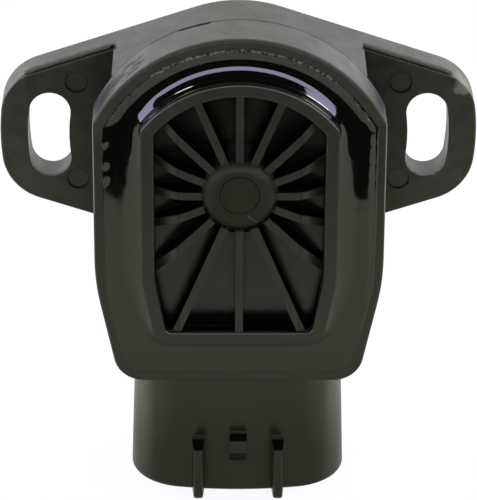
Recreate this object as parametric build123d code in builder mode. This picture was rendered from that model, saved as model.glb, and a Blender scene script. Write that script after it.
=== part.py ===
"""Throttle position sensor: a moulded housing with a two-eared flange and a plug shroud.

Millimetres, +Z up. The origin is on the rotor's axis at the mounting face. The rotor turns about Y,
the front cover looks along -Y and the plug shroud points down. A "depth" is the distance in front of
the mounting face, so a point at depth d lies at y = -d.
"""
import os
from math import cos, radians, sin, sqrt

from build123d import *

# Flange: two straight edges on each side, tangent to the core circle, and ear ends round the axis
flange_core_radius = 16.15
flange_slope = 18.6
ear_reach = 29.35
ear_thickness = 4.4
ear_corner_radius = 6.5
ear_edge_radius = 0.3
ear_count = 2
slot_circle_radius = 23.4
slot_width = 5.1
slot_swing_angle = 15.2
mark_radius = 1.35
mark_sink = 0.2
mark_offset = 19.85
mark_upper_height = 7.05
mark_lower_height = -5.95

# Neck behind the drum
neck_rear_depth = 2.4
neck_half_width = 15.2
neck_bottom = -24.3
neck_bottom_half_width = 13.4
neck_corner_radius = 3.0

# Drum: an arch round the axis with straight sides that taper to the plug
drum_rear_depth = 13.6
rim_depth = 20.0
drum_radius = 19.25
drum_half_width = 17.4
drum_shoulder_radius = 1.2
drum_waist_radius = 30.0
taper_top = -12.5
drum_bottom = -26.0
drum_bottom_half_width = 14.6
drum_corner_radius = 3.6
rim_wall = 1.25
rim_edge_radius = 0.3

# Cover: a base plate in the drum and a raised arch with a ribbed recess
cover_seat_depth = 15.6
cover_plate = 1.6
cover_gap = 0.15
cover_depth = 22.0
cover_radius = 14.5
cover_half_width = 11.75
cover_shoulder_radius = 1.0
cover_waist_radius = 12.0
cover_taper_top = -11.5
cover_bottom = -19.85
cover_bottom_half_width = 10.15
cover_corner_radius = 2.4
cover_edge_radius = 0.25
frame_wall = 1.62
recess_depth = 18.9
rib_count = 16
rib_width = 0.95
rib_depth = 21.8
rib_end_drop = 1.7
rib_end_run = 2.8
rib_end_radius = 4.0
hub_radius = 4.6
hub_depth = 22.35
hub_edge_radius = 1.6
hub_mark_radius = 2.45
hub_mark_lift = 0.4
hub_mark_groove = 0.16
well_radius = 6.2
well_sink = 0.8

# Resin in the gutter between the rim and the cover's arch
resin_depth = 19.8
resin_climb = 1.9
resin_feather = 0.6

# Plug shroud and its latch
shroud_width = 26.8
shroud_thickness = 16.2
shroud_crown_radius = 45.0
shroud_corner_radius = 7.0
shroud_flare = 0.8
shroud_centre_depth = 10.5
shroud_mouth = -42.6
shroud_top = -18.0
shroud_wall = 1.7
shroud_edge_radius = 0.4
socket_length = 13.0
fin_offset = 4.95
fin_root = 1.5
fin_front = 1.1
fin_height = 2.5
fin_top = -35.1
fin_end_radius = 0.9
fin_edge_radius = 0.3
latch_width = 2.1
latch_height = 1.6
latch_top = -34.3
latch_face = 2.1
latch_ramp = 1.8

# Bearing, seal and pilot at the rear
pilot_radius = 10.0
pilot_length = 3.0
pilot_edge = 0.4
ring_seat_radius = 9.7
ring_section = 2.0
ring_sink = 0.8
ring_room = 0.1
journal_radius = 5.0
running_clearance = 0.05
seat_clearance = 0.02
bush_radius = 6.5
bush_rear_depth = 1.2
bush_front_depth = 9.0
boss_room = 0.7
seal_radius = 8.0
seal_rear_depth = -2.3
seal_front_depth = 0.8
seal_wall = 0.9
washer_radius = 8.2
washer_thickness = 0.5
washer_gap = 0.05

# Rotor
cavity_radius = 13.0
cavity_rear_depth = 5.0
rotor_rear_depth = -2.0
rotor_room = 1.0
rotor_disc_thickness = 2.0
rotor_nose_radius = 3.4
rotor_nose_length = 1.6
rotor_travel_angle = 100.0
stop_tab_room = 0.4
stop_tab_angle = 14.0
stop_post_angle = 9.0
stop_length = 1.7
stop_gap_angle = 0.8
stop_rest_angle = 55.0
stop_room = 0.2
stop_root = 0.3
pivot_radius = 1.5
pivot_front_depth = 19.6
pivot_root_depth = 8.0
pivot_pocket_depth = 20.0
pivot_edge = 0.3
insert_radius = 3.6
insert_length = 6.0
blade_width = 2.4
blade_depth = 5.0

# Return spring
wire_radius = 0.4
wire_sides = 8
coil_room = 3.4
coil_pitch = 1.05
coil_turns = 3
coil_lift = 0.15
leg_length = 6.5
peg_radius = 0.5
peg_place = 4.5

# Resistor card, tracks, wipers and terminals
card_thickness = 0.8
card_room = 0.4
card_hole_radius = 4.3
card_tab_half_width = 8.6
card_tab_bottom = -19.4
track_thickness = 0.12
track_width = 1.7
track_edge = 2.4
track_spacing = 2.6
wiper_rest_angle = 40.0
idle_rest_angle = 215.0
track_margin_angle = 9.0
idle_contact_angle = 14.0
wiper_thickness = 0.25
wiper_arm_width = 1.1
wiper_base_length = 3.6
wiper_slope = 2.6
wiper_toe = 0.6
wiper_touch_gap = 0.04
terminal_pitch = 4.5
terminal_width = 2.0
terminal_thickness = 0.64
terminal_tip = -38.0
terminal_shelf = -20.6
terminal_pad_top = -15.6
terminal_edge = 0.2
trough_half_width = 9.6
trough_bottom = -23.0
trough_rear_depth = 9.4
terminal_names = ("supply_terminal", "signal_terminal", "idle_terminal", "ground_terminal")

# Sizes that follow from the ones above
cover_plate_depth = cover_seat_depth + cover_plate
rotor_disc_radius = cavity_radius - rotor_room
stop_tab_reach = cavity_radius - stop_tab_room
coil_radius = cavity_radius - coil_room
boss_radius = coil_radius - wire_radius - boss_room
card_radius = cavity_radius - card_room
outer_track_radius = rotor_disc_radius - track_edge
inner_track_radius = outer_track_radius - track_spacing
card_depth = cover_seat_depth - card_thickness
track_depth = card_depth - track_thickness
disc_rear_depth = bush_front_depth + washer_thickness + 2 * washer_gap
disc_front_depth = disc_rear_depth + rotor_disc_thickness
shroud_front_depth = shroud_centre_depth + shroud_thickness / 2
fin_depth = shroud_front_depth + fin_height
latch_depth = shroud_front_depth + latch_height
socket_top = shroud_mouth + socket_length
terminal_pad_depth = card_depth - terminal_thickness / 2 - seat_clearance
well_depth = recess_depth - well_sink
seal_lip_radius = journal_radius + running_clearance
stop_width = cavity_radius + stop_root - rotor_disc_radius - stop_room
stop_radius = rotor_disc_radius + stop_room + stop_width / 2
coil_rear_depth = cavity_rear_depth + coil_lift + wire_radius
coil_front_depth = coil_rear_depth + coil_pitch * coil_turns
peg_offset = coil_radius + wire_radius + peg_radius + running_clearance

os.makedirs("parts", exist_ok=True)


def front(depth):
    """Sketch plane at a depth: local x is X, local y is Z, and its normal points to the front."""
    return Plane.XZ.offset(depth)


def around(angle, radius):
    """Point on a circle round the axis, in a front plane, counted from +X towards +Z."""
    return (radius * cos(radians(angle)), radius * sin(radians(angle)))


def radial_plane(angle, radius):
    """Plane across a radius: local x runs round the axis, local y is depth, normal points outwards."""
    out = Vector(cos(radians(angle)), 0, sin(radians(angle)))
    along = Vector(-sin(radians(angle)), 0, cos(radians(angle)))
    return Plane(origin=out * radius, x_dir=along, z_dir=out)


def save(piece, name):
    """Label a finished piece and write it to its own file."""
    piece.label = name
    export_step(piece, f"parts/{name}.step")


def flange_outline():
    """Face of the flange: core arcs, straight edges tangent to them and arcs at the ear ends."""
    run = sqrt(ear_reach**2 - flange_core_radius**2)
    tangent_x = flange_core_radius * sin(radians(flange_slope))
    tangent_z = flange_core_radius * cos(radians(flange_slope))
    corner_x = tangent_x + run * cos(radians(flange_slope))
    corner_z = tangent_z - run * sin(radians(flange_slope))
    with BuildSketch(Plane.XY) as outline:
        with BuildLine():
            for side in (1, -1):
                ThreePointArc(
                    (-tangent_x, side * tangent_z),
                    (0, side * flange_core_radius),
                    (tangent_x, side * tangent_z),
                )
                ThreePointArc(
                    (side * corner_x, corner_z),
                    (side * ear_reach, 0),
                    (side * corner_x, -corner_z),
                )
                for level in (1, -1):
                    Line((side * tangent_x, level * tangent_z), (side * corner_x, level * corner_z))
        make_face()
        fillet(vertices().group_by(Axis.X)[0] + vertices().group_by(Axis.X)[-1], ear_corner_radius)
    return outline.sketch


def arch_outline(radius, half_width, shoulder, taper, waist, bottom_half_width, bottom, corner, inset):
    """Face of an arch round the axis with straight sides that taper to a flat bottom, less an inset."""
    spring = sqrt(radius**2 - half_width**2)
    with BuildSketch(Plane.XY) as outline:
        with BuildLine():
            ThreePointArc((-half_width, spring), (0, radius), (half_width, spring))
            Polyline(
                (half_width, spring),
                (half_width, taper),
                (bottom_half_width, bottom),
                (-bottom_half_width, bottom),
                (-half_width, taper),
                (-half_width, spring),
            )
        make_face()
        levels = vertices().group_by(Axis.Y)
        fillet(levels[1], waist)
        fillet(vertices().group_by(Axis.Y)[0], corner)
        fillet(vertices().group_by(Axis.Y)[-1], shoulder)
        if inset:
            offset(amount=-inset)
    return outline.sketch


def drum_outline(inset=0.0):
    """The drum's outline, or the same outline a wall further in."""
    return arch_outline(
        drum_radius,
        drum_half_width,
        drum_shoulder_radius,
        taper_top,
        drum_waist_radius,
        drum_bottom_half_width,
        drum_bottom,
        drum_corner_radius,
        inset,
    )


def cover_outline(inset=0.0):
    """The outline of the cover's raised arch, or the same outline a wall further in."""
    return arch_outline(
        cover_radius,
        cover_half_width,
        cover_shoulder_radius,
        cover_taper_top,
        cover_waist_radius,
        cover_bottom_half_width,
        cover_bottom,
        cover_corner_radius,
        inset,
    )


def neck_outline():
    """The neck: the flange's edges between its sides, carried down behind the drum."""
    with BuildSketch(Plane.XY) as outline:
        add(flange_outline())
        Rectangle(2 * neck_half_width, 2 * ear_reach, mode=Mode.INTERSECT)
        with BuildLine():
            Polyline(
                (-neck_half_width, 0),
                (neck_half_width, 0),
                (neck_half_width, taper_top),
                (neck_bottom_half_width, neck_bottom),
                (-neck_bottom_half_width, neck_bottom),
                (-neck_half_width, taper_top),
                close=True,
            )
        make_face()
        fillet(vertices().group_by(Axis.Y)[0], neck_corner_radius)
    return outline.sketch


def shroud_outline(inset=0.0):
    """Section of the plug shroud, crowned front and rear between round corners, or a wall further in."""
    half_width = shroud_width / 2 - inset
    half_depth = shroud_thickness / 2 - inset
    crown = shroud_crown_radius - inset
    shoulder = half_depth - crown + sqrt(crown**2 - half_width**2)
    with BuildSketch(Plane.XY) as outline:
        with BuildLine():
            for side in (1, -1):
                ThreePointArc(
                    (-half_width, side * shoulder),
                    (0, side * half_depth),
                    (half_width, side * shoulder),
                )
                Line((side * half_width, shoulder), (side * half_width, -shoulder))
        make_face()
        fillet(vertices(), shroud_corner_radius - inset)
    return outline.sketch


def ring_arc(radius, start, swing, width):
    """Arc-shaped strip round the axis with square ends."""
    inner, outer = radius - width / 2, radius + width / 2
    middle = start + swing / 2
    with BuildSketch(Plane.XY) as strip:
        with BuildLine():
            ThreePointArc(around(start, inner), around(middle, inner), around(start + swing, inner))
            Line(around(start + swing, inner), around(start + swing, outer))
            ThreePointArc(around(start + swing, outer), around(middle, outer), around(start, outer))
            Line(around(start, outer), around(start, inner))
        make_face()
    return strip.sketch


# Guide fin on the shroud, with a round toe at the mouth
with BuildPart() as fin:
    with BuildSketch(Plane.XY.offset(shroud_mouth)):
        with BuildLine(Location((fin_offset, 0, 0))):
            Polyline(
                (-fin_root / 2, -shroud_centre_depth),
                (-fin_root / 2, -shroud_front_depth),
                (-fin_front / 2, -fin_depth),
                (fin_front / 2, -fin_depth),
                (fin_root / 2, -shroud_front_depth),
                (fin_root / 2, -shroud_centre_depth),
                close=True,
            )
        make_face()
    extrude(amount=fin_top - shroud_mouth)
    toe = edges().filter_by(Axis.X).group_by(Axis.Z)[0].sort_by(Axis.Y)[0]
    fillet(toe, fin_end_radius)
    fillet(faces().sort_by(Axis.Y)[0].edges().filter_by(Axis.Z), fin_edge_radius)

# Housing: flange, neck, drum and plug shroud in one moulding
with BuildPart() as housing:
    with BuildSketch(front(0)):
        add(flange_outline())
    extrude(amount=ear_thickness)
    fillet(faces().sort_by(Axis.Y)[0].edges(), ear_edge_radius)
    with BuildSketch(front(neck_rear_depth)):
        add(neck_outline())
    extrude(amount=drum_rear_depth - neck_rear_depth)
    with BuildSketch(front(drum_rear_depth)):
        add(drum_outline())
    extrude(amount=rim_depth - drum_rear_depth)
    fillet(faces().sort_by(Axis.Y)[0].edges(), rim_edge_radius)

    # Shroud, with its mouth rounded, and the latch between two guide fins
    for height, inset in ((shroud_mouth, 0.0), (shroud_top, shroud_flare)):
        with BuildSketch(Plane.XY.offset(height)):
            with Locations((0, -shroud_centre_depth)):
                add(shroud_outline(inset))
    loft(ruled=True)
    fillet(faces().sort_by(Axis.Z)[0].edges(), shroud_edge_radius)
    add(fin.part)
    mirror(fin.part, about=Plane.YZ)
    with BuildSketch(Plane.YZ.offset(-latch_width / 2)):
        with BuildLine():
            Polyline(
                (-shroud_centre_depth, latch_top),
                (-latch_depth, latch_top),
                (-latch_depth, latch_top - latch_face),
                (-shroud_front_depth, latch_top - latch_face - latch_ramp),
                (-shroud_centre_depth, latch_top - latch_face - latch_ramp),
                close=True,
            )
        make_face()
    extrude(amount=latch_width)

    # Pilot with a seat for the sealing ring, and the ejector pads on the ears
    with BuildSketch(front(0)):
        Circle(pilot_radius)
    extrude(amount=-pilot_length)
    chamfer(faces().sort_by(Axis.Y)[-1].edges(), pilot_edge)
    with BuildSketch(front(ring_sink)):
        Circle(ring_seat_radius + ring_section + ring_room)
        Circle(ring_seat_radius, mode=Mode.SUBTRACT)
    extrude(amount=-ring_section, mode=Mode.SUBTRACT)
    with BuildSketch(front(ear_thickness - mark_sink)):
        for side in (-mark_offset, mark_offset):
            with Locations((side, mark_upper_height), (side, mark_lower_height)):
                Circle(mark_radius)
    extrude(amount=mark_sink, mode=Mode.SUBTRACT)

    # Room for the cover, the rotor and the terminals
    with BuildSketch(front(cover_seat_depth)):
        add(drum_outline(rim_wall))
    extrude(amount=rim_depth - cover_seat_depth, mode=Mode.SUBTRACT)
    with BuildSketch(front(cavity_rear_depth)):
        Circle(cavity_radius)
        Circle(boss_radius, mode=Mode.SUBTRACT)
    extrude(amount=bush_front_depth - cavity_rear_depth, mode=Mode.SUBTRACT)
    with BuildSketch(front(bush_front_depth)):
        Circle(cavity_radius)
    extrude(amount=cover_seat_depth - bush_front_depth, mode=Mode.SUBTRACT)
    with BuildSketch(front(trough_rear_depth)):
        with Locations((0, trough_bottom)):
            Rectangle(2 * trough_half_width, -trough_bottom, align=(Align.CENTER, Align.MIN))
    extrude(amount=cover_seat_depth - trough_rear_depth, mode=Mode.SUBTRACT)
    with BuildSketch(Plane.XY.offset(shroud_mouth)):
        with Locations((0, -shroud_centre_depth)):
            add(shroud_outline(shroud_wall))
    extrude(amount=socket_length, mode=Mode.SUBTRACT)
    with BuildSketch(Plane.XY.offset(socket_top)):
        with Locations((0, -shroud_centre_depth)):
            with GridLocations(terminal_pitch, 0, len(terminal_names), 1):
                Rectangle(terminal_width + 2 * seat_clearance, terminal_thickness + 2 * seat_clearance)
    extrude(amount=trough_bottom - socket_top, mode=Mode.SUBTRACT)

    # Seats of the bush and the shaft seal
    with BuildSketch(front(-pilot_length)):
        Circle(seal_radius + seat_clearance)
    extrude(amount=pilot_length + seal_front_depth + seat_clearance, mode=Mode.SUBTRACT)
    with BuildSketch(front(seal_front_depth)):
        Circle(bush_radius + seat_clearance)
    extrude(amount=bush_front_depth - seal_front_depth, mode=Mode.SUBTRACT)

    # Slots for the two fixing screws, round the axis so that the sensor can be turned to set it
    with BuildSketch(front(0)):
        with PolarLocations(0, ear_count):
            slot_line = CenterArc(
                (0, 0),
                slot_circle_radius,
                -slot_swing_angle / 2,
                slot_swing_angle,
                mode=Mode.PRIVATE,
            )
            SlotArc(slot_line, slot_width)
    extrude(amount=ear_thickness, mode=Mode.SUBTRACT)

    # Stops at the two ends of the rotor's travel, and the post that holds the spring's fixed leg
    stop_swing = stop_tab_angle / 2 + stop_gap_angle
    rest_stop = stop_rest_angle - stop_swing - stop_post_angle
    end_stop = stop_rest_angle + rotor_travel_angle + stop_swing
    with BuildSketch(front(disc_rear_depth)):
        for stop_start in (rest_stop, end_stop):
            add(ring_arc(stop_radius, stop_start, stop_post_angle, stop_width))
    extrude(amount=stop_length)
    with BuildSketch(front(cavity_rear_depth)):
        with Locations((-peg_place, -peg_offset)):
            Circle(peg_radius)
    extrude(amount=coil_lift + 2 * wire_radius)
save(housing.part, "housing")

# Ribbed cover: bars across the recess, bent down to its side walls, and a hub over the rotor's pivot
with BuildPart() as rib_envelope:
    with BuildSketch(front(well_depth)):
        add(cover_outline(frame_wall))
    extrude(amount=rib_depth - well_depth)
    recess_half_width = cover_half_width - frame_wall
    with BuildSketch(Plane.XY):
        with BuildLine():
            Polyline(
                (-recess_half_width, -well_depth),
                (-recess_half_width, rib_end_drop - rib_depth),
                (rib_end_run - recess_half_width, -rib_depth),
                (recess_half_width - rib_end_run, -rib_depth),
                (recess_half_width, rib_end_drop - rib_depth),
                (recess_half_width, -well_depth),
                close=True,
            )
        make_face()
        fillet(vertices().group_by(Axis.Y)[0], rib_end_radius)
    extrude(amount=-cover_bottom, both=True, mode=Mode.INTERSECT)

with BuildPart() as ribs:
    with BuildSketch(front(well_depth)):
        with PolarLocations(0, rib_count, start_angle=90):
            Rectangle(-cover_bottom, rib_width, align=(Align.MIN, Align.CENTER))
    extrude(amount=rib_depth - well_depth)
    add(rib_envelope.part, mode=Mode.INTERSECT)

with BuildPart() as hub:
    with BuildSketch(front(well_depth)):
        Circle(hub_radius)
    extrude(amount=hub_depth - well_depth)
    fillet(faces().sort_by(Axis.Y)[0].edges(), hub_edge_radius)
    with BuildSketch(front(hub_depth - hub_mark_groove)):
        with Locations((0, hub_mark_lift)):
            Circle(hub_mark_radius)
            Circle(hub_mark_radius - hub_mark_groove, mode=Mode.SUBTRACT)
    extrude(amount=hub_mark_groove, mode=Mode.SUBTRACT)

with BuildPart() as cover:
    with BuildSketch(front(cover_seat_depth)):
        add(drum_outline(rim_wall + cover_gap))
    extrude(amount=cover_plate)
    with BuildSketch(front(cover_plate_depth)):
        add(cover_outline())
    extrude(amount=cover_depth - cover_plate_depth)
    with BuildSketch(front(recess_depth)):
        add(cover_outline(frame_wall))
    extrude(amount=cover_depth - recess_depth, mode=Mode.SUBTRACT)
    fillet(faces().sort_by(Axis.Y)[0].edges(), cover_edge_radius)
    with BuildSketch(front(well_depth)):
        Circle(well_radius)
    extrude(amount=well_sink, mode=Mode.SUBTRACT)
    add(ribs.part)
    add(hub.part)
    with BuildSketch(front(cover_seat_depth)):
        Circle(pivot_radius + running_clearance)
    extrude(amount=pivot_pocket_depth - cover_seat_depth, mode=Mode.SUBTRACT)
save(cover.part, "ribbed_cover")

# Resin: a ring that fills the gutter, hollow across and climbing the cover's side
with BuildPart() as gutter_air:
    with BuildSketch(front(resin_depth)):
        add(drum_outline(rim_wall))
        add(cover_outline(), mode=Mode.SUBTRACT)
    extrude(amount=cover_depth - resin_depth)
    fillet(faces().sort_by(Axis.Y)[-1].wires().sort_by(SortBy.LENGTH)[0].edges(), resin_climb)

with BuildPart() as resin:
    with BuildSketch(front(cover_plate_depth)):
        add(drum_outline(rim_wall))
        add(cover_outline(), mode=Mode.SUBTRACT)
    extrude(amount=resin_depth + resin_climb - resin_feather - cover_plate_depth)
    add(gutter_air.part, mode=Mode.SUBTRACT)
save(resin.part, "potting_seal")

# Bearing and seals round the rotor's journal
with BuildPart() as bush:
    with BuildSketch(front(bush_rear_depth)):
        Circle(bush_radius)
        Circle(journal_radius + running_clearance, mode=Mode.SUBTRACT)
    extrude(amount=bush_front_depth - bush_rear_depth)
save(bush.part, "shaft_bush")

with BuildPart() as shaft_seal:
    with BuildSketch(Plane.XY):
        with BuildLine():
            Polyline(
                (seal_radius, -seal_rear_depth),
                (seal_radius, -seal_front_depth),
                (seal_radius - seal_wall, -seal_front_depth),
                (seal_radius - seal_wall, -seal_rear_depth - seal_wall),
                (seal_lip_radius + seal_wall, -seal_rear_depth - seal_wall),
                (seal_lip_radius, -seal_front_depth),
                (seal_lip_radius, -seal_rear_depth - seal_wall),
                (seal_lip_radius + seal_wall, -seal_rear_depth),
                close=True,
            )
        make_face()
    revolve(axis=Axis.Y)
save(shaft_seal.part, "shaft_seal")

with BuildPart() as thrust_washer:
    with BuildSketch(front(bush_front_depth + washer_gap)):
        Circle(washer_radius)
        Circle(journal_radius + 2 * running_clearance, mode=Mode.SUBTRACT)
    extrude(amount=washer_thickness)
save(thrust_washer.part, "thrust_washer")

with BuildPart() as sealing_ring:
    with BuildSketch(Plane.XY):
        with Locations((ring_seat_radius + (ring_section + ring_room) / 2, ring_section / 2 - ring_sink)):
            Circle(ring_section / 2 - seat_clearance)
    revolve(axis=Axis.Y)
save(sealing_ring.part, "o_ring")

# Rotor: journal, disc with a stop tab and a peg for the spring, and a nose round the pivot pin
with BuildPart() as rotor:
    with BuildSketch(front(rotor_rear_depth)):
        Circle(journal_radius)
    extrude(amount=disc_rear_depth - rotor_rear_depth)
    with BuildSketch(front(disc_rear_depth)):
        Circle(rotor_disc_radius)
        add(
            ring_arc(
                (stop_tab_reach + journal_radius) / 2,
                stop_rest_angle - stop_tab_angle / 2,
                stop_tab_angle,
                stop_tab_reach - journal_radius,
            )
        )
    extrude(amount=rotor_disc_thickness)
    with BuildSketch(front(disc_front_depth)):
        Circle(rotor_nose_radius)
    extrude(amount=rotor_nose_length)
    with BuildSketch(front(disc_rear_depth)):
        with Locations((peg_place, -peg_offset)):
            Circle(peg_radius)
    extrude(amount=coil_front_depth - wire_radius - disc_rear_depth)
    with BuildSketch(front(pivot_root_depth)):
        Circle(pivot_radius + seat_clearance)
    extrude(amount=disc_front_depth + rotor_nose_length - pivot_root_depth, mode=Mode.SUBTRACT)
    with BuildSketch(front(rotor_rear_depth)):
        Circle(insert_radius + seat_clearance)
    extrude(amount=insert_length, mode=Mode.SUBTRACT)
save(rotor.part, "rotor")

with BuildPart() as drive_insert:
    with BuildSketch(front(rotor_rear_depth)):
        Circle(insert_radius)
    extrude(amount=insert_length)
    with BuildSketch(front(rotor_rear_depth)):
        Rectangle(blade_width, 2 * insert_radius)
    extrude(amount=blade_depth, mode=Mode.SUBTRACT)
save(drive_insert.part, "drive_insert")

with BuildPart() as pivot_pin:
    with BuildSketch(front(pivot_root_depth)):
        Circle(pivot_radius)
    extrude(amount=pivot_front_depth - pivot_root_depth)
    chamfer(faces().sort_by(Axis.Y)[0].edges(), pivot_edge)
save(pivot_pin.part, "pivot_pin")

# Return spring: a coil round the boss with a straight leg at each end, its wire drawn with flats
with BuildPart() as return_spring:
    with BuildLine() as wire_path:
        coil = Helix(
            coil_pitch,
            coil_pitch * coil_turns,
            coil_radius,
            center=(0, -coil_rear_depth, 0),
            direction=(0, -1, 0),
        )
        Line(coil @ 0, coil @ 0 - (coil % 0) * leg_length)
        Line(coil @ 1, coil @ 1 + (coil % 1) * leg_length)
    with BuildSketch(wire_path.line ^ 0):
        RegularPolygon(wire_radius, wire_sides)
    sweep(path=wire_path.line)
save(return_spring.part, "return_spring")

# Resistor card with its printed tracks
with BuildPart() as card:
    with BuildSketch(front(card_depth)):
        Circle(card_radius)
        with Locations((0, card_tab_bottom)):
            Rectangle(2 * card_tab_half_width, -card_tab_bottom, align=(Align.CENTER, Align.MIN))
        Circle(card_hole_radius, mode=Mode.SUBTRACT)
    extrude(amount=card_thickness)
save(card.part, "resistor_board")

track_swing = rotor_travel_angle + 2 * track_margin_angle
with BuildPart() as resistor_track:
    with BuildSketch(front(track_depth)):
        add(ring_arc(outer_track_radius, wiper_rest_angle - track_margin_angle, track_swing, track_width))
    extrude(amount=track_thickness)
save(resistor_track.part, "resistor_track")

with BuildPart() as collector_track:
    with BuildSketch(front(track_depth)):
        add(ring_arc(inner_track_radius, wiper_rest_angle - track_margin_angle, track_swing, track_width))
    extrude(amount=track_thickness)
save(collector_track.part, "collector_track")

with BuildPart() as idle_track:
    with BuildSketch(front(track_depth)):
        idle_start = idle_rest_angle - track_margin_angle
        add(ring_arc(outer_track_radius, idle_start, idle_contact_angle, track_width))
    extrude(amount=track_thickness)
save(idle_track.part, "idle_track")

with BuildPart() as ground_track:
    with BuildSketch(front(track_depth)):
        add(ring_arc(inner_track_radius, idle_rest_angle - track_margin_angle, track_swing, track_width))
    extrude(amount=track_thickness)
save(ground_track.part, "ground_track")


def wiper(angle):
    """Sprung contact on the rotor: a flat base and two arms that rise to the tracks at an angle."""
    seat = disc_front_depth + wiper_thickness / 2
    touch = track_depth - wiper_touch_gap - wiper_thickness
    with BuildPart() as strip:
        with BuildSketch(radial_plane(angle, inner_track_radius - wiper_arm_width / 2)):
            with Locations((-wiper_slope, disc_front_depth)):
                Rectangle(wiper_base_length, wiper_thickness, align=(Align.MAX, Align.MIN))
        extrude(amount=outer_track_radius - inner_track_radius + wiper_arm_width)
        for radius in (inner_track_radius, outer_track_radius):
            with BuildSketch(radial_plane(angle, radius - wiper_arm_width / 2)):
                with BuildLine():
                    Polyline(
                        (-wiper_slope - wiper_thickness, seat),
                        (0, touch),
                        (wiper_toe, touch - wiper_toe),
                    )
                trace(line_width=wiper_thickness)
            extrude(amount=wiper_arm_width)
    return strip.part


save(wiper(wiper_rest_angle), "output_wiper")
save(wiper(idle_rest_angle), "idle_wiper")

# Terminals: a blade in the plug, a shelf in the trough and a pad on the card
for place, name in enumerate(terminal_names):
    left_side = (place - (len(terminal_names) - 1) / 2) * terminal_pitch - terminal_width / 2
    with BuildPart() as terminal:
        with BuildSketch(Plane.YZ.offset(left_side)):
            with BuildLine():
                Polyline(
                    (-terminal_pad_depth, terminal_pad_top),
                    (-terminal_pad_depth, terminal_shelf),
                    (-shroud_centre_depth, terminal_shelf),
                    (-shroud_centre_depth, terminal_tip),
                )
            trace(line_width=terminal_thickness)
        extrude(amount=terminal_width)
        chamfer(faces().sort_by(Axis.Z)[0].edges(), terminal_edge)
    save(terminal.part, name)
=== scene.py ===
"""Looks of the throttle position sensor: black moulded plastic, casting resin, and a plain studio.

The frame is the sensor's own: the origin is on the rotor's axis at the mounting face, the ribbed cover looks
along -Y and the plug shroud points down. The sensor's sizes are in millimetres and are turned into metres where
they are used. A depth is the distance in front of the mounting face, a side the distance from the middle plane,
and a reach the distance from the axis. The studio's sizes are in metres.
"""
import bpy
import bmesh
from collections import namedtuple
from math import cos, pi, radians, sin, sqrt

from mathutils import Euler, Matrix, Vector, noise
from mathutils.kdtree import KDTree


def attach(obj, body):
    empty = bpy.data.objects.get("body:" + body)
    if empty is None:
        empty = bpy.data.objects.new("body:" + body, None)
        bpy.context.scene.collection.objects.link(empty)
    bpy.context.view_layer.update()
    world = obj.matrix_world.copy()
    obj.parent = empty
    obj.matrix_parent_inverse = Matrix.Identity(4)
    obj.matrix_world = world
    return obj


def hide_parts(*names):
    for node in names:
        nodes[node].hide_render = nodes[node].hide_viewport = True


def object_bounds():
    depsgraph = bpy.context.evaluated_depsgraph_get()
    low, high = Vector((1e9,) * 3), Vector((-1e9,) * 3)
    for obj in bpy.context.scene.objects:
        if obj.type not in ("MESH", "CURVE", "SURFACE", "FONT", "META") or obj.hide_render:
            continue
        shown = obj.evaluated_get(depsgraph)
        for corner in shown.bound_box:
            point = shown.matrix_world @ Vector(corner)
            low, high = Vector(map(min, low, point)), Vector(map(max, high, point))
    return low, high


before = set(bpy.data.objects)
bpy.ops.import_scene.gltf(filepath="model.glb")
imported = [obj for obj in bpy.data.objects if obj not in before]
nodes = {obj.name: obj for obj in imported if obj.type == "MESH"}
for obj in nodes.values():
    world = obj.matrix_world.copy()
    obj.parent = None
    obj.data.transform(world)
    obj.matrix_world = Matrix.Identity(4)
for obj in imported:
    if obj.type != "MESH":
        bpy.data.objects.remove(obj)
cad_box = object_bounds()
MM = 0.001
WHITE = (1, 1, 1)


def add_node(tree, kind, links=(), values=(), **settings):
    """New node of a tree: its settings, the links into some of its sockets and the plain values of others."""
    made = tree.nodes.new(kind)
    for name, value in settings.items():
        setattr(made, name, value)
    for socket, source in links:
        tree.links.new(source, made.inputs[socket])
    for socket, value in values:
        made.inputs[socket].default_value = value
    return made


def smooth_step(tree, value, start, end, low=0.0, high=1.0):
    """Output that goes smoothly from low, where a value is at start, to high, where it is at end."""
    ends = [("From Min", start), ("From Max", end), ("To Min", low), ("To Max", high)]
    made = add_node(tree, "ShaderNodeMapRange", [("Value", value)], ends, interpolation_type="SMOOTHSTEP")
    return made.outputs["Result"]


# Sockets of a mix node that go by number: its share, numbers and colours, and its two results
SHARE, FIRST_NUMBER, SECOND_NUMBER, FIRST_COLOUR, SECOND_COLOUR = 0, 2, 3, 6, 7
MIXED_NUMBER, MIXED_COLOUR = 0, 2
# Size and detail of the fine grain on the plastic, and how far it stands up
GRAIN, GRAIN_RISE = (0.18, 2), 0.002


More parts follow.
